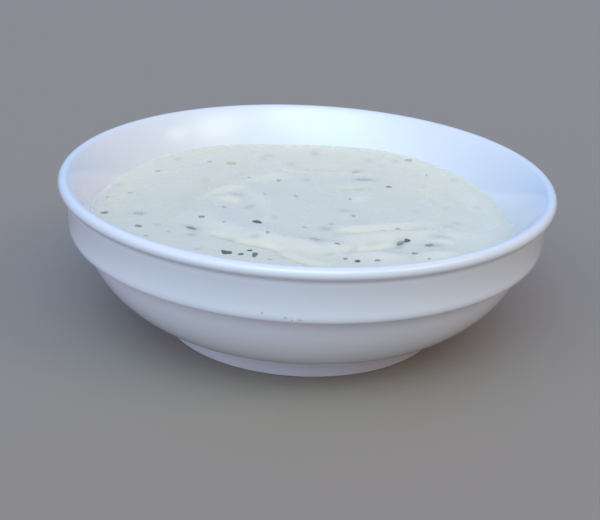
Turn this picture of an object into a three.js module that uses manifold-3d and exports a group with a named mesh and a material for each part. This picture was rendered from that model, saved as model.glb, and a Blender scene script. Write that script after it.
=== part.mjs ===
// A small round porcelain bowl, filled with garlic sauce that has chopped herbs in it.
// Millimetres, +Z up. The origin is on the table, at the middle of the foot ring.
// The bowl is turned from one outline. The sauce is a solid up to its stirred surface,
// and the herb flakes that stand out of it are joined to it.
import * as THREE from 'three';
import { mergeVertices } from 'three/addons/utils/BufferGeometryUtils.js';
import Module from 'manifold-3d';

const wasm = await Module();
wasm.setup();

const degree = Math.PI / 180;

// ---- driving dimensions of the bowl ----
const rimRadius = 70;            // over the outside of the rolled rim
const bowlHeight = 44.2;
const beadRadius = 1.7;          // section of the rolled rim
const beadUnderside = -60;       // angle on the bead where the cove under it starts, degrees
const collarTop = 68.45;         // radius and height of the collar's upper end, under the cove
const collarTopHeight = 39.3;
const collarFoot = 67.3;         // radius of the collar at its lower edge
const collarWaistHeight = 34.5;  // the collar leans out to the rim above this height
const shoulderHeight = 28.4;     // underside of the collar, which rests on the bowl below in a stack
const shoulderRounding = 1.3;    // the collar's lower edge is rounded by this much inwards
const shoulderRoundingHeight = 2.4;  // and over this height
const bellyRounding = 0.9;       // the belly turns in under the shoulder
const bellyTop = 63.6;           // radius of the belly, just under the shoulder
const bellyDrop = 12.2;          // the belly goes almost straight down for about this far
const bellyTurn = 48.0;          // radius and height where the belly has turned under
const bellyTurnHeight = 7.6;
const footNeck = 43.4;           // radius and height where the belly meets the foot ring
const footNeckHeight = 5.3;
const footWall = 40.9;           // radius and height where the foot ring turns out into the belly
const footWallHeight = 3.6;
const footOuter = 40.5;          // outside of the foot ring at the table
const footInner = 36.7;
const footRounding = 0.5;
const recessDepth = 3.2;         // hollow inside the foot ring
const wallTopSlope = 48;         // slope of the inner wall at the rim, degrees from level
const wallLowSlope = 70;         // and lower down, where it is steepest
const wallLow = 59.3;            // radius and height of that lower place
const wallLowHeight = 30;
const floorHeight = 8;           // inner floor of the bowl
const floorRadius = 26;          // the floor is level inside this radius
const floorSweep = 50;           // radius at which the wall's line would meet the floor
const bowlSides = 64;
const turnSteps = 7;             // steps between the steep place and the floor, for bowl and sauce alike

// ---- driving dimensions of the sauce ----
// Height of the surface where it meets the wall, every 30 degrees from +X towards +Y.
const edgeHeights = [31.0, 32.2, 33.7, 33.2, 33.7, 33.3, 32.3, 33.4, 32.2, 31.6, 31.4, 31.3];
const edgeDrop = 0.45;           // the surface rounds over by this much at the wall
const dishDepth = 0.3;           // and is this much lower in the middle
const wallGap = 0.35;            // between the sauce and the bowl
const sauceSides = 80;
const sauceRings = 24;
const sauceSideRows = 2;

// Marks left by the spoon. Each one leaves its start towards the bend and comes from the bend to
// its end. Its rise is the height of its crest, or the depth of its groove where it is negative,
// and it reaches to the right and to the left of its path, seen from its start.
const spoonMarks = [
  { name: 'fold', start: [-29, 5], bend: [-28, -17], end: [-6, -22], rise: 1.1, right: 6, left: 6 },
  { name: 'fold lobe', start: [-16, -18], bend: [0, -26], end: [14, -24], rise: 1.3, right: 4.5, left: 3.2 },
  { name: 'long streak', start: [8, -20], bend: [19, -15], end: [37, -9], rise: 1.3, right: 4.4, left: 2.4 },
  { name: 'streak end', start: [31, -11], bend: [42, -10], end: [52, -8], rise: 0.7, right: 4, left: 3 },
  { name: 'upper streak', start: [7, -12], bend: [20, -8], end: [38, -1], rise: 0.6, right: 1.8, left: 3 },
  { name: 'hook', start: [-31, 6], bend: [-26, 18], end: [-17, 17], rise: 0.8, right: 1.6, left: 3 },
  { name: 'hook heart', start: [-27, 6], bend: [-23, 8], end: [-19, 6], rise: 1, right: 2.6, left: 2 },
  { name: 'hook back', start: [-20, 17], bend: [-9, 9], end: [-11, -10], rise: 0.8, right: 2, left: 3 },
  { name: 'short band', start: [-20, 23], bend: [-12, 28], end: [-4, 33], rise: 0.9, right: 3, left: 2.2 },
  { name: 'far groove', start: [-8, 36], bend: [5, 41], end: [22, 37], rise: -0.9, right: 3.4, left: 3.4 },
  { name: 'left groove', start: [-33, -6], bend: [-38, 20], end: [-14, 32], rise: -0.8, right: 4, left: 4 },
  { name: 'right ring', start: [46, -20], bend: [60, -2], end: [46, 24], rise: 0.6, right: 3.5, left: 3.5 },
  { name: 'middle groove', start: [6, 20], bend: [12, 20.5], end: [20, 24], rise: -0.5, right: 2.2, left: 2 },
  { name: 'middle swell', start: [12, 12], bend: [16, 13], end: [19, 19], rise: 0.5, right: 2.5, left: 2.5 },
  { name: 'right mound', start: [30, -26], bend: [36, -27], end: [44, -23], rise: 1, right: 3.4, left: 2.4 },
  { name: 'right knob', start: [34, -17], bend: [38, -15.5], end: [42, -16], rise: 0.6, right: 2, left: 1.6 },
  { name: 'near mound', start: [12, -29], bend: [19, -28], end: [28, -29], rise: 0.8, right: 3, left: 2 },
];
const markSteps = 14;            // straight pieces that a mark's path is taken as

// ---- driving dimensions of the herbs ----
const flakeThickness = 0.7;
const flakeProud = 0.3;          // how far a flake stands out of the sauce
const flakeCorners = 6;
const flakeTilt = 12;            // degrees
const scatterSeed = 7;
const scatteredFlakes = 22;
const scatterRadius = 52;
const scatterLength = [1.0, 1.9];
const flakeSpacing = 4.5;        // scattered flakes keep this far from the others
// The flakes that show most: place, length, width and turn.
const boldFlakes = [
  { x: -13.6, y: -10.5, length: 2.7, width: 2.2, turn: 0 },
  { x: -20.6, y: -33.9, length: 3.2, width: 2.2, turn: 5 },
  { x: 14.1, y: -33.4, length: 1.6, width: 1.5, turn: 30 },
  { x: 28.2, y: -17.6, length: 2.2, width: 1.4, turn: 50 },
  { x: -14.4, y: -31.2, length: 1.3, width: 1, turn: 40 },
  { x: -13.1, y: -33.6, length: 3.4, width: 1.3, turn: 80 },
  { x: -16.7, y: -34.3, length: 1.8, width: 1.2, turn: 60 },
  { x: -56.6, y: -10.4, length: 2.6, width: 1.5, turn: 15 },
  { x: -45.8, y: -19.4, length: 2.1, width: 1.5, turn: 0 },
  { x: 34.2, y: -19.8, length: 2.4, width: 1.3, turn: 0 },
  { x: -31, y: -18.4, length: 3.4, width: 1.5, turn: -38 },
  { x: 26.2, y: -19.8, length: 2.6, width: 1.1, turn: 45 },
  { x: 3.1, y: -22.6, length: 2.6, width: 1.8, turn: -60 },
  { x: -47.2, y: -9.8, length: 2.4, width: 1.6, turn: 10 },
  { x: 17.4, y: 29, length: 3.8, width: 1.5, turn: 0 },
  { x: 32, y: 47.4, length: 2.6, width: 2.2, turn: 0 },
  { x: 15, y: 36.8, length: 2, width: 1.5, turn: 20 },
  { x: -8.8, y: 24.2, length: 1.9, width: 1.4, turn: 80 },
  { x: -58, y: 3.2, length: 1.5, width: 1, turn: 90 },
  { x: -51.7, y: 6.9, length: 1.4, width: 1.1, turn: 0 },
  { x: -46, y: 26.3, length: 1.8, width: 1.3, turn: 10 },
  { x: -29.5, y: -10.6, length: 1.9, width: 1.3, turn: -10 },
  { x: 8.9, y: -24.4, length: 1.3, width: 1, turn: 0 },
  { x: 29.8, y: -26.4, length: 1.8, width: 1.2, turn: 10 },
  { x: 19.6, y: -32.7, length: 1.6, width: 1, turn: 25 },
  { x: 24.7, y: 23.7, length: 1.7, width: 1.3, turn: 0 },
  { x: 10.9, y: -32.4, length: 1.5, width: 0.9, turn: 30 },
  { x: -24.6, y: 36.4, length: 3.2, width: 3, turn: 0 },
];

// Points along a curve, without its last one, which starts the next curve.
function alongCurve(curve, steps) {
  return curve.getPoints(steps).slice(0, steps);
}

function point(radius, height) {
  return new THREE.Vector2(radius, height);
}

function arc(centre, radius, startDegrees, endDegrees) {
  const clockwise = endDegrees < startDegrees;
  return new THREE.EllipseCurve(
    centre.x, centre.y, radius, radius, startDegrees * degree, endDegrees * degree, clockwise);
}

// The inner wall, from the bead down to the steep place, and from there to the level floor.
const beadCentre = point(rimRadius - beadRadius, bowlHeight - beadRadius);
const wallTop = point(
  beadCentre.x - beadRadius * Math.sin(wallTopSlope * degree),
  beadCentre.y + beadRadius * Math.cos(wallTopSlope * degree));
const wallSteep = point(wallLow, wallLowHeight);
const wallHandle = 4.8;
const lowHandle = 9;
const topDirection = point(Math.cos(wallTopSlope * degree), Math.sin(wallTopSlope * degree));
const lowDirection = point(Math.cos(wallLowSlope * degree), Math.sin(wallLowSlope * degree));
const innerWall = new THREE.CubicBezierCurve(
  wallSteep,
  wallSteep.clone().addScaledVector(lowDirection, wallHandle),
  wallTop.clone().addScaledVector(topDirection, -wallHandle),
  wallTop);
const innerTurn = new THREE.CubicBezierCurve(
  point(floorRadius, floorHeight),
  point(floorSweep, floorHeight),
  wallSteep.clone().addScaledVector(lowDirection, -lowHandle),
  wallSteep);

// Radius of the inner wall at a height above the steep place, found by halving.
function wallRadiusAt(height) {
  let low = 0;
  let high = 1;
  for (let step = 0; step < 30; step += 1) {
    const middle = (low + high) / 2;
    if (innerWall.getPoint(middle).y < height) low = middle;
    else high = middle;
  }
  return innerWall.getPoint(low).x;
}

// The bowl's outline, from the middle of the recess under it, round the outside, over the
// rim and down the inside to the middle of the floor.
function bowlOutline() {
  const recessEdge = footInner - 0.5;
  const recessFillet = 1;
  const neck = point(footNeck, footNeckHeight);
  const turn = point(bellyTurn, bellyTurnHeight);
  const underShoulder = point(bellyTop, shoulderHeight - bellyRounding);
  const collarLow = point(collarFoot, shoulderHeight + shoulderRoundingHeight);
  const collarEnd = point(collarTop, collarTopHeight);
  const beadEnd = point(
    beadCentre.x + beadRadius * Math.cos(beadUnderside * degree),
    beadCentre.y + beadRadius * Math.sin(beadUnderside * degree));
  return [
    point(0, recessDepth),
    ...alongCurve(new THREE.QuadraticBezierCurve(
      point(recessEdge - recessFillet, recessDepth),
      point(recessEdge, recessDepth),
      point(recessEdge, recessDepth - recessFillet)), 2),
    point(recessEdge, recessDepth - recessFillet),
    point(footInner, footRounding),
    point(footInner + footRounding, 0),
    point(footOuter - footRounding, 0),
    point(footOuter, footRounding),
    ...alongCurve(new THREE.QuadraticBezierCurve(
      point(footWall, footWallHeight), point(footWall + 0.1, footNeckHeight - 0.15), neck), 4),
    neck,
    ...alongCurve(new THREE.CubicBezierCurve(
      turn,
      point(bellyTurn + 2.8, bellyTurnHeight + 1.4),
      point(bellyTop - 2.8, underShoulder.y - bellyDrop),
      underShoulder), 8),
    underShoulder,
    point(bellyTop + bellyRounding, shoulderHeight),
    ...alongCurve(new THREE.QuadraticBezierCurve(
      point(collarFoot - shoulderRounding, shoulderHeight),
      point(collarFoot, shoulderHeight),
      collarLow), 3),
    ...alongCurve(new THREE.QuadraticBezierCurve(
      collarLow,
      point(collarFoot - 0.05, collarWaistHeight),
      collarEnd), 3),
    ...alongCurve(new THREE.QuadraticBezierCurve(
      collarEnd, point(collarTop + 0.05, collarTopHeight + 1.3), beadEnd), 2),
    ...alongCurve(arc(beadCentre, beadRadius, beadUnderside, 0), 3),
    ...alongCurve(arc(beadCentre, beadRadius, 0, 90), 3),
    ...alongCurve(arc(beadCentre, beadRadius, 90, 90 + wallTopSlope), 2),
    ...innerWall.getPoints(5).reverse(),
    ...innerTurn.getPoints(turnSteps).reverse().slice(1),
    point(0, floorHeight),
  ];
}

// The turned shape stands along +Y in a lathe, so it is tipped up to +Z.
function turned(outline, sides) {
  const geometry = new THREE.LatheGeometry(outline, sides);
  geometry.rotateX(90 * degree);
  return geometry;
}

// The paths of the spoon marks, as rows of points.
const markPaths = spoonMarks.map((mark) => new THREE.QuadraticBezierCurve(
  point(...mark.start), point(...mark.bend), point(...mark.end)).getPoints(markSteps));

// Height that the spoon marks add at a place on the surface.
function spoonRelief(x, y) {
  const place = point(x, y);
  let height = 0;
  spoonMarks.forEach((mark, which) => {
    const path = markPaths[which];
    let nearest = { distance: Infinity };
    for (let step = 0; step < markSteps; step += 1) {
      const run = path[step + 1].clone().sub(path[step]);
      const offset = place.clone().sub(path[step]);
      const share = THREE.MathUtils.clamp(offset.dot(run) / run.lengthSq(), 0, 1);
      const gap = offset.addScaledVector(run, -share);
      const distance = gap.length();
      if (distance < nearest.distance) {
        nearest = { distance, onRight: run.cross(gap) < 0, along: (step + share) / markSteps };
      }
    }
    const reach = nearest.onRight ? mark.right : mark.left;
    const section = Math.exp(-((nearest.distance / reach) ** 2));
    height += mark.rise * section * Math.sin(Math.PI * nearest.along) ** 0.6;
  });
  return height;
}

// The heights of the edge as waves round the rim: how much of each wave, and its two parts.
const edgeWaves = [0, 1, 2, 3, 4, 5].map((wave) => {
  const share = (wave === 0 ? 1 : 2) / edgeHeights.length;
  const turns = edgeHeights.map((level, index) => wave * 2 * Math.PI * index / edgeHeights.length);
  const cosine = share * edgeHeights.reduce((sum, level, index) => sum + level * Math.cos(turns[index]), 0);
  const sine = share * edgeHeights.reduce((sum, level, index) => sum + level * Math.sin(turns[index]), 0);
  return { wave, cosine, sine };
});

// The surface stretched like a skin between the heights of its edge.
function skinHeight(out, turn) {
  return edgeWaves.reduce((height, part) => height + out ** part.wave
    * (part.cosine * Math.cos(part.wave * turn) + part.sine * Math.sin(part.wave * turn)), 0);
}

// Height of the sauce's surface at a place inside the wall.
function surfaceHeight(x, y) {
  const out = Math.min(1, Math.hypot(x, y) / wallLow);
  const swell = 0.18 * Math.sin(x / 9 + 1) * Math.cos(y / 11);
  const fade = 1 - out ** 8;
  return skinHeight(out, Math.atan2(y, x)) - dishDepth * (1 - out ** 2) - edgeDrop * out ** 40
    + fade * (spoonRelief(x, y) + swell);
}

// Where the surface meets the wall, in one direction.
function sauceEdge(turn) {
  const height = surfaceHeight(wallLow * Math.cos(turn), wallLow * Math.sin(turn));
  return point(wallRadiusAt(height) - wallGap, height);
}

// The sauce without its herbs. It is turned like the bowl and then shaped: column by column,
// its side follows the wall up to the edge, and its top follows the surface.
function sauceBody() {
  const underside = innerTurn.getPoints(turnSteps)
    .map((place) => point(place.x - wallGap, place.y + wallGap));
  const sideStart = underside.length;
  const edgeRow = sideStart + sauceSideRows;
  const outline = [point(0, floorHeight + wallGap), ...underside];
  for (let row = 1; row <= sauceSideRows; row += 1) outline.push(point(wallLow, wallLowHeight + row));
  for (let ring = 1; ring < sauceRings; ring += 1) {
    outline.push(point(wallLow * (1 - ring / sauceRings), edgeHeights[0]));
  }
  outline.push(point(0, edgeHeights[0]));
  const geometry = turned(outline, sauceSides);
  const places = geometry.attributes.position;
  const rows = outline.length;
  for (let index = 0; index < places.count; index += 1) {
    const row = index % rows;
    if (row <= sideStart) continue;
    const column = Math.floor(index / rows);
    const radial = new THREE.Vector2(places.getX(column * rows + 1), places.getY(column * rows + 1));
    const turn = radial.angle();
    const edge = sauceEdge(turn);
    let radius;
    let height;
    if (row <= edgeRow) {
      const up = (row - sideStart) / sauceSideRows;
      height = THREE.MathUtils.lerp(wallLowHeight + wallGap, edge.y, up);
      radius = wallRadiusAt(height) - wallGap;
    } else {
      radius = edge.x * (1 - (row - edgeRow) / sauceRings);
      height = surfaceHeight(radius * Math.cos(turn), radius * Math.sin(turn));
    }
    places.setXYZ(index, radius * Math.cos(turn), radius * Math.sin(turn), height);
  }
  return geometry;
}

// A solid for cutting and joining, from a closed geometry. Triangles that have shrunk to a
// line, as on the axis of a turned shape, are left out.
function toSolid(geometry) {
  const bare = geometry.clone();
  bare.deleteAttribute('normal');
  bare.deleteAttribute('uv');
  const merged = mergeVertices(bare, 1e-4);
  const corners = merged.index.array;
  const kept = [];
  for (let face = 0; face < corners.length; face += 3) {
    const [a, b, c] = corners.slice(face, face + 3);
    if (a !== b && b !== c && c !== a) kept.push(a, b, c);
  }
  return new wasm.Manifold(new wasm.Mesh({
    numProp: 3,
    vertProperties: new Float32Array(merged.attributes.position.array),
    triVerts: new Uint32Array(kept),
  }));
}

function toGeometry(solid) {
  const mesh = solid.getMesh();
  const geometry = new THREE.BufferGeometry();
  geometry.setAttribute('position', new THREE.BufferAttribute(mesh.vertProperties, 3));
  geometry.setIndex(new THREE.BufferAttribute(mesh.triVerts, 1));
  geometry.computeVertexNormals();
  return geometry;
}

// Repeatable random numbers from 0 to 1.
function seededDraw(seed) {
  let state = seed;
  return () => {
    state = (state * 1664525 + 1013904223) % 4294967296;
    return state / 4294967296;
  };
}

// One chopped flake: a thin plate with an uneven outline, sunk in the sauce up to its top.
function herbFlake(flake, draw) {
  const outline = new THREE.Shape();
  for (let corner = 0; corner < flakeCorners; corner += 1) {
    const turn = (corner + 0.5 * draw()) / flakeCorners * 2 * Math.PI;
    const reach = 0.8 + 0.4 * draw();
    const x = flake.length / 2 * reach * Math.cos(turn);
    const y = flake.width / 2 * reach * Math.sin(turn);
    if (corner === 0) outline.moveTo(x, y);
    else outline.lineTo(x, y);
  }
  const geometry = new THREE.ExtrudeGeometry(outline, { depth: flakeThickness, bevelEnabled: false });
  geometry.translate(0, 0, flakeProud - flakeThickness);
  geometry.rotateX((2 * draw() - 1) * flakeTilt * degree);
  geometry.rotateZ(flake.turn * degree);
  geometry.translate(flake.x, flake.y, surfaceHeight(flake.x, flake.y));
  return geometry;
}

// The scattered flakes fill the places between the bold ones.
function scatterFlakes(draw) {
  const flakes = [...boldFlakes];
  while (flakes.length < boldFlakes.length + scatteredFlakes) {
    const radius = scatterRadius * Math.sqrt(draw());
    const turn = 2 * Math.PI * draw();
    const x = radius * Math.cos(turn);
    const y = radius * Math.sin(turn);
    const length = THREE.MathUtils.lerp(...scatterLength, draw());
    const near = flakes.some((other) => Math.hypot(other.x - x, other.y - y) < flakeSpacing);
    if (!near) flakes.push({ x, y, length, width: 0.65 * length, turn: 180 * draw() });
  }
  return flakes;
}

function sauceWithHerbs() {
  const draw = seededDraw(scatterSeed + 1);
  let solid = toSolid(sauceBody());
  for (const flake of scatterFlakes(seededDraw(scatterSeed))) {
    solid = solid.add(toSolid(herbFlake(flake, draw)));
  }
  return toGeometry(solid);
}

const porcelain = new THREE.MeshStandardMaterial({ color: 0xe6ebf3, roughness: 0.12, metalness: 0 });
const sauce = new THREE.MeshStandardMaterial({ color: 0xdfe3da, roughness: 0.35, metalness: 0 });

const bowlMesh = new THREE.Mesh(toGeometry(toSolid(turned(bowlOutline(), bowlSides))), porcelain);
bowlMesh.name = 'bowl';
const sauceMesh = new THREE.Mesh(sauceWithHerbs(), sauce);
sauceMesh.name = 'garlic_sauce';

const bowlOfSauce = new THREE.Group();
bowlOfSauce.add(bowlMesh, sauceMesh);

export default bowlOfSauce;
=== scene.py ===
"""A white porcelain bowl of garlic sauce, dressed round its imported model.

Sizes are in millimetres and are turned into metres where a mesh is made.
"""
import math
import random

import bmesh
import bpy
import numpy as np
from mathutils import Matrix, Vector
from mathutils.geometry import interpolate_bezier


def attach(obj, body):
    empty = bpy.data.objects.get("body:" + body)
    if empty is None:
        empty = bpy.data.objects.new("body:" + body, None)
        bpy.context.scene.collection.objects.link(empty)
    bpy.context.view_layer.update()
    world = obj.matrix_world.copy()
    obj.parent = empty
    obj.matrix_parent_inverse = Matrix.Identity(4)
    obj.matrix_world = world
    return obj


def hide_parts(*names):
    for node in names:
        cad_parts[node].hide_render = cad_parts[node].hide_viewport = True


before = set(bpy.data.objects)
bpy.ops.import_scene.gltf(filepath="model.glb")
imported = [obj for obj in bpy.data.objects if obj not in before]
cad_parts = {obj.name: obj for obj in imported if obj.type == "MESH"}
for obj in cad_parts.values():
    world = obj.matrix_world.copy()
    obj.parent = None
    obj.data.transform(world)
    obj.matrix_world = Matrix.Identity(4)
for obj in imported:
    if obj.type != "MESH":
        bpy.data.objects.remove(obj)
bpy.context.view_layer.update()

MM = 0.001

# ---- the bowl ----
RIM_RADIUS = 70
BOWL_HEIGHT = 44.2
BEAD_RADIUS = 1.7
BEAD_UNDERSIDE = -60          # degrees round the bead, where the cove under it starts
COLLAR_TOP_RADIUS = 68.45     # just under the cove
COLLAR_TOP_HEIGHT = 39.3
COLLAR_FOOT = 67.3
COLLAR_WAIST_HEIGHT = 34.5
SHOULDER_HEIGHT = 28.4
SHOULDER_ROUNDING = 1.3
SHOULDER_ROUNDING_HEIGHT = 2.4
BELLY_TOP = 63.6
BELLY_ROUNDING = 0.9          # the belly turns in under the shoulder
BELLY_DROP = 12.2             # and goes almost straight down for about this far
BELLY_TURN = (48.0, 7.6)
FOOT_NECK = (43.4, 5.3)
FOOT_WALL = (40.9, 3.6)       # where the foot ring starts to turn out into the belly
FOOT_OUTER = 40.5
FOOT_INNER = 36.7
FOOT_ROUNDING = 0.5
RECESS_DEPTH = 3.2
RECESS_FILLET = 1.2
# Pinholes in the glaze of the collar: angle round from +X towards +Y, and height.
PINHOLES = [
    (-98, 30.9), (-93.2, 30.1), (-91.8, 29.5), (-90.4, 29.7), (-89.9, 29.6), (-89.5, 28.9),
]
PINHOLE_SIZE = (0.2, 0.5)     # radius of its full shade, and of its faint edge
PINHOLE_SHADE = 0.38
WALL_TOP_SLOPE = 48           # degrees from level
WALL_LOW_SLOPE = 70
WALL_LOW = (59.3, 30)         # radius and height where the inner wall is steepest
WALL_HANDLE = 4.8             # how far the wall's curve heads along its slope at both ends
LOW_HANDLE = 9                # and below its steep place
FLOOR_HEIGHT = 8
FLOOR_RADIUS = 26
FLOOR_SWEEP = 50
BOWL_STEPS = 256              # round the axis
SECTORS = 16

# ---- the sauce ----
# Height of the sauce where it meets the wall, every 30 degrees from +X towards +Y.
EDGE_HEIGHTS = (31.0, 32.2, 33.7, 33.2, 33.7, 33.3, 32.3, 33.4, 32.2, 31.6, 31.4, 31.3)
EDGE_DROP = 0.15              # the surface rounds over by this much at the wall
EDGE_DROP_TIGHTNESS = 40      # higher is nearer the wall
MARK_FADE = 8                 # the spoon marks fade out towards the wall; higher is nearer it
DISH_DEPTH = 0.3              # the surface is this much lower in the middle
SWELL = 0.18                  # and rises and falls gently by this much
INTO_WALL = 0.08              # the sauce wets the glaze, so its edge reaches just into it
SAUCE_STEPS = 400
SAUCE_RINGS = 130
SIDE_ROWS = 8
LID_HEIGHT = 40               # the top is spun at this height, clear of the side, and then shaped
RING_CROWDING = 1.35          # above 1 the rings lie closer together at the wall
EDGE_WHITENING = 0.6          # how white the thin edge is, partly as painted light
EDGE_TIGHTNESS = 70
SMEAR_TURN = -171             # where a film of sauce climbs the wall
SMEAR_SPAN = 13
SMEAR_REACH = 0.8             # there is no film inside this share of the radius
SMEAR_CLIMB = 1.6
SMEAR_THICKNESS = 0.4
SMEAR_BLEND = 0.8             # the film runs softly into the surface over this height

# Marks left by the spoon, in plan: where each starts, bends to and ends, how high its crest
# stands (or how deep its groove is), and how far it reaches to the right and to the left.
SPOON_MARKS = {
    "fold": ((-29, 5), (-28, -17), (-6, -22), 1.1, 6.0, 6.0),
    "fold lobe": ((-16, -18), (0, -26), (14, -24), 1.3, 4.5, 3.2),
    "fold edge": ((-26, -21), (-15, -27.5), (-5, -29), -0.8, 1.1, 1.0),
    "fold tail": ((-8, -28.5), (-3, -36), (8, -38), -0.8, 1.3, 1.3),
    "long streak": ((8, -20), (19, -15), (37, -9), 1.3, 4.4, 2.4),
    "streak end": ((31, -11), (42, -10), (52, -8), 0.7, 4.0, 3.0),
    "under streak": ((10, -28.5), (16, -25), (27, -21), -0.7, 1.3, 1.3),
    "upper streak": ((7, -12), (20, -8), (38, -1), 0.6, 1.8, 3.0),
    "under upper streak": ((9, -14.5), (20, -11.5), (33, -8), -0.6, 1.3, 1.2),
    "hook": ((-31, 6), (-26, 18), (-17, 17), 0.8, 1.6, 3.0),
    "hook heart": ((-27, 6), (-23, 8), (-19, 6), 1.0, 2.6, 2.0),
    "hook back": ((-20, 17), (-9, 9), (-11, -10), 0.8, 2.0, 3.0),
    "short band": ((-20, 23), (-12, 28), (-4, 33), 0.9, 3.0, 2.2),
    "far groove": ((-8, 36), (5, 41), (22, 37), -0.9, 3.4, 3.4),
    "left groove": ((-33, -6), (-38, 20), (-14, 32), -0.8, 4.0, 4.0),
    "right ring": ((46, -20), (60, -2), (46, 24), 0.6, 3.5, 3.5),
    "ring groove": ((31, 31), (44, 24), (46, 8), -0.5, 1.3, 1.3),
    "inner ring groove": ((28, 26), (38, 19), (42, 5), -0.5, 1.3, 1.3),
    "middle groove": ((6, 20), (12, 20.5), (20, 24), -0.5, 2.2, 2.0),
    "middle swell": ((12, 12), (16, 13), (19, 19), 0.5, 2.5, 2.5),
    "right mound": ((30, -26), (36, -27), (44, -23), 1.0, 3.4, 2.4),
    "right knob": ((34, -17), (38, -15.5), (42, -16), 0.6, 2.0, 1.6),
    "near mound": ((12, -29), (19, -28), (28, -29), 0.8, 3.0, 2.0),
}

MARK_STEPS = 14               # straight pieces that a mark's path is taken as
MARK_TAPER = 0.6              # below 1 a mark keeps its height nearly to its ends

# ---- the herbs: place, length, width and turn of each flake that shows ----
HERBS = {
    "dark_herbs": [
        (-13.6, -10.5, 2.4, 2.8, 0), (-20.6, -33.9, 3.0, 2.6, 5), (14.1, -33.4, 1.6, 1.5, 30),
        (28.2, -17.6, 2.2, 1.4, 50), (-14.4, -31.2, 1.3, 1.0, 40),
    ],
    "green_herbs": [(-13.1, -33.6, 3.4, 1.3, 80), (-16.7, -34.3, 1.8, 1.2, 60)],
    "veiled_herbs": [
        (-56.6, -10.4, 2.4, 2.0, 15), (-45.8, -19.4, 1.9, 2.0, 0), (34.2, -19.8, 2.3, 1.7, 0),
        (-31, -18.4, 3.4, 1.5, -38), (26.2, -19.8, 2.6, 1.1, 45),
    ],
    "sunken_herbs": [
        (3.1, -22.6, 2.6, 1.8, -60), (-47.2, -9.8, 2.4, 1.6, 10), (17.4, 29, 3.8, 1.5, 0),
        (32, 47.4, 2.6, 2.2, 0), (15, 36.8, 2.0, 1.5, 20), (-8.8, 24.2, 1.9, 1.4, 80),
        (-58, 3.2, 1.5, 1.0, 90), (-51.7, 6.9, 1.4, 1.1, 0), (-46, 26.3, 1.8, 1.3, 10),
    ],
    "brown_bits": [
        (-29.5, -10.6, 1.9, 1.3, -10), (8.9, -24.4, 1.3, 1.0, 0), (29.8, -26.4, 1.8, 1.2, 10),
        (19.6, -32.7, 1.6, 1.0, 25), (24.7, 23.7, 1.7, 1.3, 0), (10.9, -32.4, 1.5, 0.9, 30),
    ],
    "olive_bits": [(-24.6, 36.4, 3.2, 3.0, 0)],
}
# The darkest and the lightest colour of each kind.
HERB_COLOURS = {
    "dark_herbs": ((0.07, 0.08, 0.075), (0.18, 0.20, 0.18)),
    "green_herbs": ((0.10, 0.14, 0.10), (0.26, 0.31, 0.25)),
    "veiled_herbs": ((0.22, 0.26, 0.27), (0.38, 0.42, 0.42)),
    "sunken_herbs": ((0.42, 0.47, 0.47), (0.54, 0.58, 0.56)),
    "brown_bits": ((0.28, 0.26, 0.23), (0.42, 0.40, 0.35)),
    "olive_bits": ((0.60, 0.58, 0.36), (0.70, 0.67, 0.45)),
}
SCATTER_SEED = 7
SCATTERED_FLAKES = 22
SCATTER_RADIUS = 52
SCATTER_LENGTH = (1.0, 1.9)
FLAKE_SPACING = 4.5           # scattered flakes keep this far from the others
FLAKE_PROUD = 0.16
FLAKE_THICKNESS = 0.25
FLAKE_TILT = 0.06             # rise from its middle to its edge, at most
FLAKE_RIPPLE = (0.02, 0.06)
FLAKE_EDGE_DIP = 0.10

# Flecks under the surface, one of them painted shade: place, length, width, turn and how strongly they
# show.
SUNK_FLECKS_AND_FOLD_SHADE = [
    (-47.2, -9.6, 5, 3.5, 10, 0.3), (-30.6, -23.2, 3, 2, 0, 0.35), (-31, -18.2, 5.4, 3, -40, 0.35),
    (3.2, -22.4, 5.5, 4, -60, 0.45), (5.7, -12.3, 4.4, 3, 20, 0.35), (11, 2.3, 4, 2.6, 0, 0.25),
    (17.3, 29, 7, 2.8, 0, 0.35), (15, 36.8, 3.6, 3, 0, 0.25), (-12.4, 46, 4, 3.6, 0, 0.25),
    (2.1, 51, 2.6, 5, 0, 0.3), (-40.8, -17.5, 2.6, 2, 0, 0.25), (-31.3, 22, 3.5, 4, 20, 0.15),
    (16, 20.6, 5.5, 2.6, 8, 0.25), (32, 5.6, 3.5, 2.4, 0, 0.2), (45.3, 33, 2.6, 3, 0, 0.2),
    (-0.4, 26.8, 2.2, 2.6, 0, 0.25), (22.9, 41.7, 2.2, 2.6, 0, 0.2), (19.3, 45.6, 2.4, 3, 0, 0.3),
    (27.8, 46.4, 2.4, 3, 0, 0.25), (-41.2, 37.4, 2.6, 2.8, 0, 0.25), (-20.8, 10.3, 3.6, 2.8, 0, 0.3),
    (-16.5, 1.2, 4, 2, 50, 0.3), (26.4, -19.6, 6, 3, 60, 0.45), (-27.9, -33, 1.8, 1.4, 0, 0.4),
    # The fleck at (-12.5, -27.4) is a painted shade line along the foot of the fold, not a herb.
    (37.2, -13.4, 6, 2.6, 8, 0.25), (-12.5, -27.4, 4, 1.6, -15, 0.2), (-20.4, -24, 4.4, 2.2, -10, 0.25),
    (-56.4, 13.8, 3, 1.8, 10, 0.25), (-8.9, -6.4, 3, 2.4, 60, 0.2), (41, 10.4, 2.6, 2, 30, 0.15),
    (-14.2, 43, 3, 3, 0, 0.2), (-5.5, 40.4, 2.4, 2.4, 0, 0.2), (50.6, 11.4, 2.6, 2, 0, 0.25),
    (43.4, -1.4, 3, 2.2, 0, 0.25), (-26.8, 15.8, 2, 1.6, 20, 0.2), (-13.4, -23.1, 2.8, 2.2, 0, 0.3),
    (35.5, -19.4, 6, 3, 10, 0.35), (-0.6, -21.8, 2.4, 1.6, 50, 0.25), (19, -21.3, 5, 1.4, 25, 0.15),
    (6.7, -30.1, 3.4, 1.6, 30, 0.2), (12.8, -26.1, 2.6, 1.6, 50, 0.2), (40.3, -4, 2.8, 1.4, 0, 0.2),
]

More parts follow.
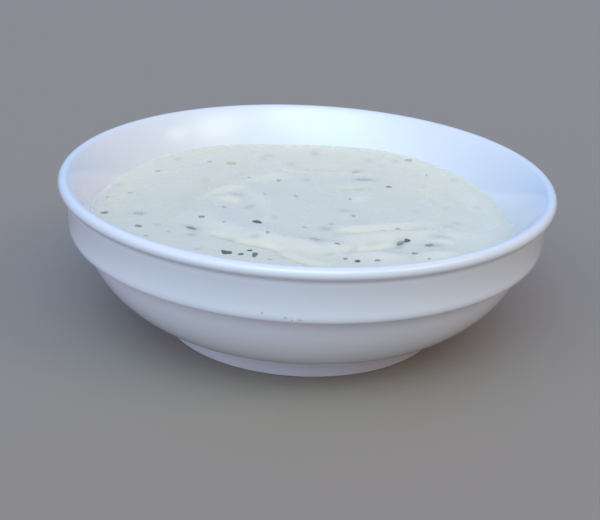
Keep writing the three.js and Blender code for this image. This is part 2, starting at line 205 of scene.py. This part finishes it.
# ---- the photograph's camera ----
PICTURE_WIDTH = 600
FOCAL_PIXELS = 1253
SENSOR = 36
CAMERA_BACK = 337.5
CAMERA_UP = 159.9
CAMERA_DOWN = 22.96           # degrees below level
CAMERA_HEADING = -0.19
CAMERA_ROLL = 2.78

# ---- colours ----
GLAZE_SHADE = (0.80, 0.845, 0.89)
GLAZE_LIGHT = (0.84, 0.875, 0.91)
PINHOLE_GREY = (0.25, 0.27, 0.29)
CREAM_PAINTED_GROOVE_SHADE = (0.76, 0.735, 0.58)   # painted shade, in the grooves of the spoon marks
CREAM_PAINTED_CREST_LIGHT = (0.87, 0.86, 0.76)    # painted light, on the crests
CREAM_CLOUD = (0.77, 0.75, 0.605)
CREAM_THIN_EDGE_AND_LIGHT = (0.86, 0.87, 0.83)     # a thin edge over the white glaze, partly painted light over its shade
SUNK_HERB_AND_SHADE_GREY = (0.22, 0.27, 0.30)
FLOOR_GREY = (0.33, 0.29, 0.25)
STAGE_RADIUS = 3              # metres

# ---- the studio: azimuth and elevation of each glow, its tightness and its colour ----
SURROUND = {
    "front high": (-90, 52, 16, (1.53, 2.67, 3.40)),
    "front high left": (-115, 48, 16, (0.56, 1.40, 1.25)),
    "front high right": (-65, 48, 16, (0.72, 0.72, 0.70)),
    "front left": (-135, 20, 4, (1.0, 0.97, 1.42)),
    "right": (0, 20, 1, (0.22, 0.05, 0.0)),
    "overhead": (0, 90, 1, (0.24, 0.04, 0.04)),
    "behind": (90, 20, 1, (0.09, 0.43, 0.86)),
    "right window": (-29, 41, 40, (2.9, 3.0, 2.2)),
    "front strip": (-74, 57, 150, (1.4, 1.5, 1.0)),
    "small right window": (-6, 33, 260, (2.2, 2.4, 2.1)),
    "left strip": (-106, 56, 120, (0.2, 0.4, 0.6)),
}


def degrees_point(centre, radius, angle):
    """A point round a circle in the outline's plane: radius from the axis, and height."""
    turn = math.radians(angle)
    return (centre[0] + radius * math.cos(turn), centre[1] + radius * math.sin(turn))


def arc_points(centre, radius, start, end, count):
    return [degrees_point(centre, radius, start + (end - start) * step / count)
            for step in range(count)]


def bezier_points(start, first, second, end, count):
    corners = [Vector((place[0], place[1], 0)) for place in (start, first, second, end)]
    return [(place.x, place.y) for place in interpolate_bezier(*corners, count + 1)][:count]


def bend_points(start, corner, end, count):
    """A bend from start to end that heads for the corner at both ends."""
    first = [start[axis] + (corner[axis] - start[axis]) * 2 / 3 for axis in (0, 1)]
    second = [end[axis] + (corner[axis] - end[axis]) * 2 / 3 for axis in (0, 1)]
    return bezier_points(start, first, second, end, count)


BEAD_CENTRE = (RIM_RADIUS - BEAD_RADIUS, BOWL_HEIGHT - BEAD_RADIUS)
WALL_TOP = degrees_point(BEAD_CENTRE, BEAD_RADIUS, 90 + WALL_TOP_SLOPE)


def inner_wall(count):
    """The inner wall from the bead down to its steep place."""
    top = degrees_point(WALL_TOP, WALL_HANDLE, 180 + WALL_TOP_SLOPE)
    low = degrees_point(WALL_LOW, WALL_HANDLE, WALL_LOW_SLOPE)
    return bezier_points(WALL_TOP, top, low, WALL_LOW, count)


def inner_turn(count):
    """From the steep place of the inner wall down to the level floor."""
    low = degrees_point(WALL_LOW, LOW_HANDLE, 180 + WALL_LOW_SLOPE)
    floor_edge = (FLOOR_RADIUS, FLOOR_HEIGHT)
    return bezier_points(WALL_LOW, low, (FLOOR_SWEEP, FLOOR_HEIGHT), floor_edge, count)


def bowl_outline():
    """The bowl's outline: the recess under it, the outside, the rim and the inside."""
    recess_edge = FOOT_INNER - 0.5
    recess_corner = (recess_edge, RECESS_DEPTH)
    recess_low = (recess_edge, RECESS_DEPTH - RECESS_FILLET)
    foot_corner = (FOOT_WALL[0] + 0.1, FOOT_NECK[1] - 0.15)
    collar_low = (COLLAR_FOOT, SHOULDER_HEIGHT + SHOULDER_ROUNDING_HEIGHT)
    collar_corner = (COLLAR_FOOT, SHOULDER_HEIGHT)
    under_shoulder = (BELLY_TOP, SHOULDER_HEIGHT - BELLY_ROUNDING)
    shoulder_inside = (BELLY_TOP + 1, SHOULDER_HEIGHT)
    bead_end = degrees_point(BEAD_CENTRE, BEAD_RADIUS, BEAD_UNDERSIDE)
    collar_top = (COLLAR_TOP_RADIUS, COLLAR_TOP_HEIGHT)
    cove = (COLLAR_TOP_RADIUS + 0.05, COLLAR_TOP_HEIGHT + 1.3)
    foot_edge = (FOOT_OUTER, FOOT_ROUNDING)
    return [
        (0, RECESS_DEPTH),
        (recess_edge * 0.5, RECESS_DEPTH),
        *bend_points((recess_edge - RECESS_FILLET, RECESS_DEPTH), recess_corner, recess_low, 6),
        recess_low,
        *bend_points((FOOT_INNER, FOOT_ROUNDING), (FOOT_INNER, 0),
                     (FOOT_INNER + FOOT_ROUNDING, 0), 4),
        (FOOT_INNER + FOOT_ROUNDING, 0),
        *bend_points((FOOT_OUTER - FOOT_ROUNDING, 0), (FOOT_OUTER, 0), foot_edge, 4),
        foot_edge,
        *bend_points(FOOT_WALL, foot_corner, FOOT_NECK, 8),
        *bezier_points(FOOT_NECK, (FOOT_NECK[0] + 1.5, FOOT_NECK[1] + 0.75),
                       (BELLY_TURN[0] - 1.5, BELLY_TURN[1] - 0.75), BELLY_TURN, 3),
        *bezier_points(BELLY_TURN, (BELLY_TURN[0] + 2.8, BELLY_TURN[1] + 1.4),
                       (BELLY_TOP - 2.8, under_shoulder[1] - BELLY_DROP), under_shoulder, 28),
        *bend_points(under_shoulder, (BELLY_TOP + 0.1, SHOULDER_HEIGHT), shoulder_inside, 4),
        shoulder_inside,
        *bend_points((COLLAR_FOOT - SHOULDER_ROUNDING, SHOULDER_HEIGHT), collar_corner,
                     collar_low, 12),
        *bend_points(collar_low, (COLLAR_FOOT - 0.05, COLLAR_WAIST_HEIGHT), collar_top, 14),
        *bend_points(collar_top, cove, bead_end, 5),
        *arc_points(BEAD_CENTRE, BEAD_RADIUS, BEAD_UNDERSIDE, 90 + WALL_TOP_SLOPE, 22),
        *inner_wall(24),
        *inner_turn(24),
        (FLOOR_RADIUS, FLOOR_HEIGHT),
        (FLOOR_RADIUS * 0.5, FLOOR_HEIGHT),
        (0, FLOOR_HEIGHT),
    ]


def turn_about_axis(bm, geometry, degrees, steps, copies):
    """Spins about the Z axis: a line sweeps out faces, or copies of a sector are set round."""
    bmesh.ops.spin(bm, geom=geometry, cent=(0, 0, 0), axis=(0, 0, 1), dvec=(0, 0, 0),
                   angle=math.radians(degrees), steps=steps, use_merge=copies,
                   use_normal_flip=False, use_duplicate=copies)


def spun(outline, steps, name):
    """A closed body turned round the Z axis from an outline that starts and ends on it.
    One sector is swept first and then copied round, which is quicker than one long sweep."""
    bm = bmesh.new()
    corners = [bm.verts.new((radius * MM, 0, height * MM)) for radius, height in outline]
    for first, second in zip(corners, corners[1:]):
        bm.edges.new((first, second))
    turn_about_axis(bm, bm.verts[:] + bm.edges[:], 360 / SECTORS, steps // SECTORS, False)
    turn_about_axis(bm, bm.verts[:] + bm.edges[:] + bm.faces[:], 360, SECTORS, True)
    bmesh.ops.remove_doubles(bm, verts=bm.verts, dist=1e-6)
    bmesh.ops.dissolve_degenerate(bm, edges=bm.edges, dist=1e-7)
    bmesh.ops.recalc_face_normals(bm, faces=bm.faces)
    for face in bm.faces:
        face.smooth = True
    return finished(bm, name)


def finished(bm, name):
    mesh = bpy.data.meshes.new(name)
    bm.to_mesh(mesh)
    bm.free()
    piece = bpy.data.objects.new(name, mesh)
    bpy.context.collection.objects.link(piece)
    return piece


# ---- the shape of the sauce's surface ----

def wall_line():
    """Radii and heights of the inner wall, from the floor up."""
    return np.array(inner_turn(24)[::-1] + inner_wall(60)[::-1]).T


def wall_radius(height):
    """Radius of the inner wall at each of the heights."""
    radii, heights = wall_line()
    return np.interp(height, heights, radii)


def wall_height(radius):
    """Height of the inner wall at each of the radii."""
    radii, heights = wall_line()
    return np.interp(radius, radii, heights)


def skin_height(x, y):
    """The surface stretched like a skin between the heights of its edge."""
    count = len(EDGE_HEIGHTS)
    turn = np.arctan2(y, x)
    out = np.minimum(1, np.hypot(x, y) / WALL_LOW[0])
    height = np.full_like(turn, np.mean(EDGE_HEIGHTS))
    for wave in range(1, count // 2):
        cosine = sum(level * math.cos(wave * math.tau * index / count)
                     for index, level in enumerate(EDGE_HEIGHTS)) * 2 / count
        sine = sum(level * math.sin(wave * math.tau * index / count)
                   for index, level in enumerate(EDGE_HEIGHTS)) * 2 / count
        height += out ** wave * (cosine * np.cos(wave * turn) + sine * np.sin(wave * turn))
    return height


def mark_path(start, bend, end):
    """Points along a spoon mark, which heads for the bend from its start and from its end."""
    share = np.linspace(0, 1, MARK_STEPS + 1)[:, None]
    return ((1 - share) ** 2 * np.array(start) + 2 * share * (1 - share) * np.array(bend)
            + share ** 2 * np.array(end))


def beside_path(x, y, path):
    """How far each place lies to the right of a path, and its share of the way along it."""
    nearest = np.full_like(x, np.inf)
    across = np.zeros_like(x)
    along = np.zeros_like(x)
    for index, (first, second) in enumerate(zip(path, path[1:])):
        step = second - first
        length = math.hypot(*step)
        forward = ((x - first[0]) * step[0] + (y - first[1]) * step[1]) / length ** 2
        forward = np.clip(forward, 0, 1)
        dx, dy = x - first[0] - forward * step[0], y - first[1] - forward * step[1]
        distance = np.hypot(dx, dy)
        closer = distance < nearest
        nearest = np.where(closer, distance, nearest)
        side = np.sign(dx * step[1] - dy * step[0])
        across = np.where(closer, distance * side, across)
        along = np.where(closer, (index + forward) / (len(path) - 1), along)
    return across, along


def spoon_relief(x, y, even=False):
    """Height of the spoon marks, or the marks' own shape where each counts the same."""
    height = np.zeros_like(x)
    for start, bend, end, rise, right, left in SPOON_MARKS.values():
        rise = math.copysign(1, rise) if even else rise
        across, along = beside_path(x, y, mark_path(start, bend, end))
        reach = np.where(across > 0, right, left)
        height += rise * np.exp(-(across / reach) ** 2) * np.sin(math.pi * along) ** MARK_TAPER
    return height


def surface_height(x, y):
    """Height of the sauce's surface at each place inside the wall."""
    out = np.minimum(1, np.hypot(x, y) / WALL_LOW[0])
    level = skin_height(x, y) - DISH_DEPTH * (1 - out ** 2) - EDGE_DROP * out ** EDGE_DROP_TIGHTNESS
    swell = SWELL * np.sin(x / 9 + 1) * np.cos(y / 11)
    return level + (1 - out ** MARK_FADE) * (spoon_relief(x, y) + swell)


def smear_climb(angle):
    """How far above the sauce its film climbs the wall at each turn round the axis."""
    off = np.degrees(angle) - SMEAR_TURN
    off -= 360 * np.round(off / 360)
    return SMEAR_CLIMB * np.exp(-(off / SMEAR_SPAN) ** 2)


def sauce_outline():
    """The outline that the sauce is spun from. Its side and its top are shaped afterwards."""
    under = [(0, FLOOR_HEIGHT), (FLOOR_RADIUS, FLOOR_HEIGHT), *inner_turn(16)[::-1]]
    side = [(WALL_LOW[0], WALL_LOW[1] + row + 1) for row in range(SIDE_ROWS)]
    lid = [(WALL_LOW[0] * (1 - (ring / SAUCE_RINGS) ** RING_CROWDING), LID_HEIGHT)
           for ring in range(1, SAUCE_RINGS + 1)]
    return under + side + lid


def film_height(radius, angle, edge_height):
    """Height of the film's surface in front of the wall, or 0 where there is no film."""
    film = np.minimum(wall_height(radius + SMEAR_THICKNESS), edge_height)
    present = (smear_climb(angle) > 0.01) & (radius > WALL_LOW[0] * SMEAR_REACH)
    return np.where(present, film, 0)


def keep_share(mesh, name, values):
    """Keeps a share 0..1 at each corner of the mesh, for its material to read."""
    layer = mesh.attributes.new(name, "FLOAT", "POINT")
    layer.data.foreach_set("value", values)


def make_sauce():
    """The sauce is spun like the bowl, and then each of its columns is fitted to the wall
    and to the surface."""
    piece = spun(sauce_outline(), SAUCE_STEPS, "sauce_body")
    mesh = piece.data
    places = np.empty(len(mesh.vertices) * 3)
    mesh.vertices.foreach_get("co", places)
    x, y, z = places.reshape(-1, 3).T / MM
    radius = np.hypot(x, y)
    angle = np.arctan2(y, x)
    on_top = z > LID_HEIGHT - 1
    on_side = (z > WALL_LOW[1] + 0.5) & ~on_top

    edge = (WALL_LOW[0] * np.cos(angle), WALL_LOW[0] * np.sin(angle))
    edge_height = surface_height(*edge) + smear_climb(angle)
    edge_radius = wall_radius(edge_height) + INTO_WALL
    side_height = WALL_LOW[1] + (z - WALL_LOW[1]) / SIDE_ROWS * (edge_height - WALL_LOW[1])
    share = radius / WALL_LOW[0]
    radius = np.where(on_top, edge_radius * share, radius)
    radius = np.where(on_side, wall_radius(side_height) + INTO_WALL, radius)
    x, y = radius * np.cos(angle), radius * np.sin(angle)

    film = film_height(radius, angle, edge_height)
    surface = surface_height(x, y)
    blended = (surface + film + np.hypot(surface - film, SMEAR_BLEND)) / 2
    top = np.where(film > 0, blended, surface)
    z = np.where(on_side, side_height, np.where(on_top, top, z))
    mesh.vertices.foreach_set("co", (np.stack([x, y, z], axis=1) * MM).ravel())
    mesh.update()

    # The thin edge and the film on the wall are whitened partly because the glaze shows through and
    # partly as painted light lifting their shade.
    climbing = np.clip((top - surface) / SMEAR_THICKNESS, 0, 1)
    thin = np.maximum(EDGE_WHITENING * share ** EDGE_TIGHTNESS, climbing)
    # Painted light and shade: the crest share makes the cream lighter on the crests of the spoon marks
    # and darker in their grooves.
    crest = 0.5 + 0.5 * np.tanh(spoon_relief(x, y, True))
    keep_share(mesh, "sunk_herb_and_shade", np.where(on_top, sunk_herb_and_fold_shade_share(x, y), 0))
    keep_share(mesh, "thin", np.where(on_top, thin, EDGE_WHITENING))
    keep_share(mesh, "crest", np.where(on_top, crest, 0.5))
    return piece


def sunk_herb_and_fold_shade_share(x, y):
    """How strongly a herb under the surface, or the painted shade at the fold, shows through at each
    place.
    """
    clear = np.ones_like(x)
    for centre_x, centre_y, length, width, turn, strength in SUNK_FLECKS_AND_FOLD_SHADE:
        cosine, sine = math.cos(math.radians(turn)), math.sin(math.radians(turn))
        dx, dy = x - centre_x, y - centre_y
        along = (dx * cosine + dy * sine) / (length / 2)
        across = (dy * cosine - dx * sine) / (width / 2)
        clear *= 1 - strength * np.exp(-(along ** 2 + across ** 2))
    return 1 - clear


# ---- the herbs ----

def repeatable_draws(seed):
    """The same run of numbers from 0 to 1 each time."""
    state = seed
    while True:
        state = (state * 1664525 + 1013904223) % 4294967296
        yield state / 4294967296


def scatter_flakes():
    """Smaller flakes that hardly show, between the ones that do."""
    herbs = {kind: list(flakes) for kind, flakes in HERBS.items()}
    taken = [flake[:2] for flakes in HERBS.values() for flake in flakes]
    draw = repeatable_draws(SCATTER_SEED)
    count = 0
    while count < SCATTERED_FLAKES:
        reach = SCATTER_RADIUS * math.sqrt(next(draw))
        turn = math.tau * next(draw)
        place = (reach * math.cos(turn), reach * math.sin(turn))
        length = SCATTER_LENGTH[0] + (SCATTER_LENGTH[1] - SCATTER_LENGTH[0]) * next(draw)
        if all(math.dist(place, other) > FLAKE_SPACING for other in taken):
            herbs["sunken_herbs"].append((*place, length, 0.65 * length, 180 * next(draw)))
            taken.append(place)
            count += 1
    return herbs


def flake_place(spot, flake, outline):
    """Where a spot of a square grid comes to lie in the flake's uneven round outline."""
    centre_x, centre_y, length, width, turn = flake
    along = spot.x * math.sqrt(1 - spot.y ** 2 / 2)
    across = spot.y * math.sqrt(1 - spot.x ** 2 / 2)
    direction = math.atan2(across, along)
    reach = 1 + sum(size * math.cos(waves * direction + phase) for waves, size, phase in outline)
    u, v = along * reach * length / 2, across * reach * width / 2
    cosine, sine = math.cos(math.radians(turn)), math.sin(math.radians(turn))
    return centre_x + u * cosine - v * sine, centre_y + u * sine + v * cosine, along, across


def add_flake(bm, flake, draw):
    """A thin leaf scrap with an uneven outline. It lies on the sauce and is a little wavy."""
    scrap = bmesh.ops.create_grid(bm, x_segments=9, y_segments=6, size=1)["verts"]
    outline = [(waves, draw.uniform(0.04, 0.34 / waves), draw.uniform(0, math.tau))
               for waves in (1, 2, 3, 5)]
    tilt_along = draw.uniform(-FLAKE_TILT, FLAKE_TILT)
    tilt_across = draw.uniform(-FLAKE_TILT, FLAKE_TILT)
    ripple = draw.uniform(*FLAKE_RIPPLE)
    phase = draw.uniform(0, math.tau)
    places = np.array([flake_place(vert.co.copy(), flake, outline) for vert in scrap])
    x, y, along, across = places.T
    wave = ripple * np.sin(4 * along + 2 * across + phase)
    sunk_edge = FLAKE_EDGE_DIP * (along ** 2 + across ** 2)
    tilt = tilt_along * along + tilt_across * across
    z = surface_height(x, y) + FLAKE_PROUD + tilt + wave - sunk_edge
    for vert, place in zip(scrap, np.stack([x, y, z], axis=1)):
        vert.co = Vector(place) * MM


def make_herbs():
    """One piece for each kind of herb, with all the flakes of that kind."""
    draw = random.Random(SCATTER_SEED)
    for kind, flakes in scatter_flakes().items():
        bm = bmesh.new()
        for flake in flakes:
            add_flake(bm, flake, draw)
        bmesh.ops.recalc_face_normals(bm, faces=bm.faces)
        bmesh.ops.solidify(bm, geom=bm.faces[:], thickness=FLAKE_THICKNESS * MM)
        bmesh.ops.recalc_face_normals(bm, faces=bm.faces)
        for face in bm.faces:
            face.smooth = True
        piece = finished(bm, kind)
        piece.data.materials.append(herb_leaf(kind))
        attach(piece, "root")
        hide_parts("garlic_sauce")


# ---- materials ----

def new_material(name):
    material = bpy.data.materials.new(name)
    material.use_nodes = True
    return material, material.node_tree.nodes, material.node_tree.links


def object_noise(nodes, links, scale, detail=3.0, roughness=0.5):
    """A cloudy pattern that is fixed to the piece, finer with a larger scale."""
    place = nodes.new("ShaderNodeTexCoord")
    grain = nodes.new("ShaderNodeTexNoise")
    grain.inputs["Scale"].default_value = scale
    grain.inputs["Detail"].default_value = detail
    grain.inputs["Roughness"].default_value = roughness
    links.new(place.outputs["Object"], grain.inputs["Vector"])
    return grain


def spread(nodes, links, source, low, high):
    """Maps 0..1 of a texture to low..high."""
    span = nodes.new("ShaderNodeMapRange")
    span.inputs["To Min"].default_value = low
    span.inputs["To Max"].default_value = high
    links.new(source, span.inputs["Value"])
    return span.outputs["Result"]


def add_bump(nodes, links, height, strength, distance):
    """A fine relief in the shading of the material's main shader."""
    bump = nodes.new("ShaderNodeBump")
    bump.inputs["Strength"].default_value = strength
    bump.inputs["Distance"].default_value = distance
    links.new(height, bump.inputs["Height"])
    links.new(bump.outputs["Normal"], nodes["Principled BSDF"].inputs["Normal"])


def blend_colours(nodes, links, share, first, second):
    """Blends two colours by a share. Where first is None, a link is set in its place."""
    mix = nodes.new("ShaderNodeMix")
    mix.data_type = "RGBA"
    if first is not None:
        mix.inputs["A"].default_value = (*first, 1)
    mix.inputs["B"].default_value = (*second, 1)
    links.new(share, mix.inputs["Factor"])
    return mix.outputs["Result"]


def white_glaze():
    """Glossy white glaze, a little cloudy and rippled, with the collar's pinholes."""
    material, nodes, links = new_material("white_glaze")
    shader = nodes["Principled BSDF"]
    shader.inputs["IOR"].default_value = 1.52
    shader.inputs["Coat Weight"].default_value = 0.3
    shader.inputs["Coat Roughness"].default_value = 0.06
    cloud = object_noise(nodes, links, 30)
    glaze = blend_colours(nodes, links, cloud.outputs["Fac"], GLAZE_SHADE, GLAZE_LIGHT)
    pinholes = collar_pinholes(nodes, links)
    spotted = blend_colours(nodes, links, pinholes, None, PINHOLE_GREY)
    links.new(glaze, spotted.node.inputs["A"])
    links.new(spotted, shader.inputs["Base Color"])
    smear = object_noise(nodes, links, 90, 4)
    links.new(spread(nodes, links, smear.outputs["Fac"], 0.10, 0.18), shader.inputs["Roughness"])
    ripple = object_noise(nodes, links, 160, 1)
    add_bump(nodes, links, ripple.outputs["Fac"], 0.10, 0.0002)
    return material


def collar_pinholes(nodes, links):
    """Small grey pinholes in the glaze of the collar, as a share 0..1."""
    place = nodes.new("ShaderNodeTexCoord")
    total = None
    for turn, height in PINHOLES:
        gap = nodes.new("ShaderNodeVectorMath")
        gap.operation = "DISTANCE"
        radius = COLLAR_FOOT + 0.05
        gap.inputs[1].default_value = (radius * MM * math.cos(math.radians(turn)),
                                       radius * MM * math.sin(math.radians(turn)), height * MM)
        links.new(place.outputs["Object"], gap.inputs[0])
        spot = nodes.new("ShaderNodeMapRange")
        spot.interpolation_type = "SMOOTHSTEP"
        spot.inputs["From Min"].default_value = PINHOLE_SIZE[0] * MM
        spot.inputs["From Max"].default_value = PINHOLE_SIZE[1] * MM
        spot.inputs["To Min"].default_value = PINHOLE_SHADE
        spot.inputs["To Max"].default_value = 0
        links.new(gap.outputs["Value"], spot.inputs["Value"])
        if total is None:
            total = spot.outputs["Result"]
            continue
        both = nodes.new("ShaderNodeMath")
        both.operation = "MAXIMUM"
        links.new(total, both.inputs[0])
        links.new(spot.outputs["Result"], both.inputs[1])
        total = both.outputs["Value"]
    return total


def garlic_cream():
    """The sauce: painted light on its crests and painted shade in its grooves, cloudy,
    with herbs under it, a painted shade at the fold, and a thin white edge that is
    partly painted light.
    """
    material, nodes, links = new_material("garlic_cream")
    shader = nodes["Principled BSDF"]
    shader.inputs["IOR"].default_value = 1.4
    shader.inputs["Subsurface Weight"].default_value = 0.15
    shader.inputs["Subsurface Radius"].default_value = (1.0, 0.9, 0.7)
    shader.inputs["Subsurface Scale"].default_value = 0.0008
    # Painted light on the crests and painted shade in the grooves.
    crest = nodes.new("ShaderNodeAttribute")
    crest.attribute_name = "crest"
    crest_light_and_groove_shade = blend_colours(nodes, links, crest.outputs["Fac"], CREAM_PAINTED_GROOVE_SHADE, CREAM_PAINTED_CREST_LIGHT)
    cloud = object_noise(nodes, links, 130, 4, 0.6)
    cream = blend_colours(nodes, links, cloud.outputs["Fac"], None, CREAM_CLOUD)
    links.new(crest_light_and_groove_shade, cream.node.inputs["A"])
    # Herbs under the surface show through, and one painted shade line lies at the fold.
    sunk_herb_and_shade = nodes.new("ShaderNodeAttribute")
    sunk_herb_and_shade.attribute_name = "sunk_herb_and_shade"
    flecked = blend_colours(nodes, links, sunk_herb_and_shade.outputs["Fac"], None, SUNK_HERB_AND_SHADE_GREY)
    links.new(cream, flecked.node.inputs["A"])
    # The thin edge is whitened, partly as painted light.
    thin = nodes.new("ShaderNodeAttribute")
    thin.attribute_name = "thin"
    edged = blend_colours(nodes, links, thin.outputs["Fac"], None, CREAM_THIN_EDGE_AND_LIGHT)
    links.new(flecked, edged.node.inputs["A"])
    links.new(edged, shader.inputs["Base Color"])
    wet = object_noise(nodes, links, 120, 3)
    links.new(spread(nodes, links, wet.outputs["Fac"], 0.20, 0.34), shader.inputs["Roughness"])
    grain = object_noise(nodes, links, 420, 4)
    add_bump(nodes, links, grain.outputs["Fac"], 0.16, 0.0003)
    return material


def herb_leaf(kind):
    """Wet chopped leaf, mottled between the two colours of its kind."""
    dark, light = HERB_COLOURS[kind]
    material, nodes, links = new_material(kind)
    shader = nodes["Principled BSDF"]
    veins = object_noise(nodes, links, 1400, 3)
    colour = blend_colours(nodes, links, veins.outputs["Fac"], dark, light)
    links.new(colour, shader.inputs["Base Color"])
    wet = object_noise(nodes, links, 900, 2)
    links.new(spread(nodes, links, wet.outputs["Fac"], 0.3, 0.6), shader.inputs["Roughness"])
    add_bump(nodes, links, veins.outputs["Fac"], 0.4, 0.0002)
    return material


def floor_finish():
    material, nodes, links = new_material("pale_floor")
    shader = nodes["Principled BSDF"]
    shader.inputs["Base Color"].default_value = (*FLOOR_GREY, 1)
    shader.inputs["Roughness"].default_value = 0.8
    return material


# ---- stage ----

def make_floor():
    bm = bmesh.new()
    bmesh.ops.create_circle(bm, cap_ends=True, segments=96, radius=STAGE_RADIUS)
    floor = finished(bm, "floor")
    floor.data.materials.append(floor_finish())


def make_camera():
    lens = bpy.data.cameras.new("photo_camera")
    lens.sensor_width = SENSOR
    lens.lens = FOCAL_PIXELS * SENSOR / PICTURE_WIDTH
    lens.clip_start = 0.01
    camera = bpy.data.objects.new("photo_camera", lens)
    bpy.context.collection.objects.link(camera)
    camera.matrix_world = (
        Matrix.Translation((0, -CAMERA_BACK * MM, CAMERA_UP * MM))
        @ Matrix.Rotation(math.radians(-CAMERA_HEADING), 4, "Z")
        @ Matrix.Rotation(math.radians(90 - CAMERA_DOWN), 4, "X")
        @ Matrix.Rotation(math.radians(CAMERA_ROLL), 4, "Z"))
    bpy.context.scene.camera = camera


def facing(azimuth, elevation):
    """A direction, from its angle round from +X towards +Y and its angle above level."""
    turn, up = math.radians(azimuth), math.radians(elevation)
    return (math.cos(up) * math.cos(turn), math.cos(up) * math.sin(turn), math.sin(up))


def surround_glow(nodes, links, direction, tightness, colour):
    """A soft glow in the studio's surround, brightest in one direction."""
    place = nodes.new("ShaderNodeTexCoord")
    toward = nodes.new("ShaderNodeVectorMath")
    toward.operation = "DOT_PRODUCT"
    toward.inputs[1].default_value = direction
    links.new(place.outputs["Generated"], toward.inputs[0])
    front = nodes.new("ShaderNodeClamp")
    links.new(toward.outputs["Value"], front.inputs["Value"])
    tight = nodes.new("ShaderNodeMath")
    tight.operation = "POWER"
    tight.inputs[1].default_value = tightness
    links.new(front.outputs["Result"], tight.inputs[0])
    glow = nodes.new("ShaderNodeBackground")
    glow.inputs["Color"].default_value = (*colour, 1)
    links.new(tight.outputs["Value"], glow.inputs["Strength"])
    return glow.outputs["Background"]


def make_light():
    world = bpy.data.worlds.new("studio")
    bpy.context.scene.world = world
    world.use_nodes = True
    nodes, links = world.node_tree.nodes, world.node_tree.links
    total = nodes["Background"].outputs["Background"]
    nodes["Background"].inputs["Strength"].default_value = 0
    for azimuth, elevation, tightness, colour in SURROUND.values():
        glow = surround_glow(nodes, links, facing(azimuth, elevation), tightness, colour)
        both = nodes.new("ShaderNodeAddShader")
        links.new(total, both.inputs[0])
        links.new(glow, both.inputs[1])
        total = both.outputs["Shader"]
    links.new(total, nodes["World Output"].inputs["Surface"])
    view = bpy.context.scene.view_settings
    view.view_transform = "Standard"
    view.exposure = 0


def make_bowl():
    bowl = spun(bowl_outline(), BOWL_STEPS, "glazed_bowl")
    bowl.data.materials.append(white_glaze())
    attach(bowl, "root")
    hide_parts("bowl")


def make_filling():
    sauce = make_sauce()
    sauce.data.materials.append(garlic_cream())
    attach(sauce, "root")
    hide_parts("garlic_sauce")


make_camera()
make_floor()
make_light()
make_bowl()
make_filling()
make_herbs()
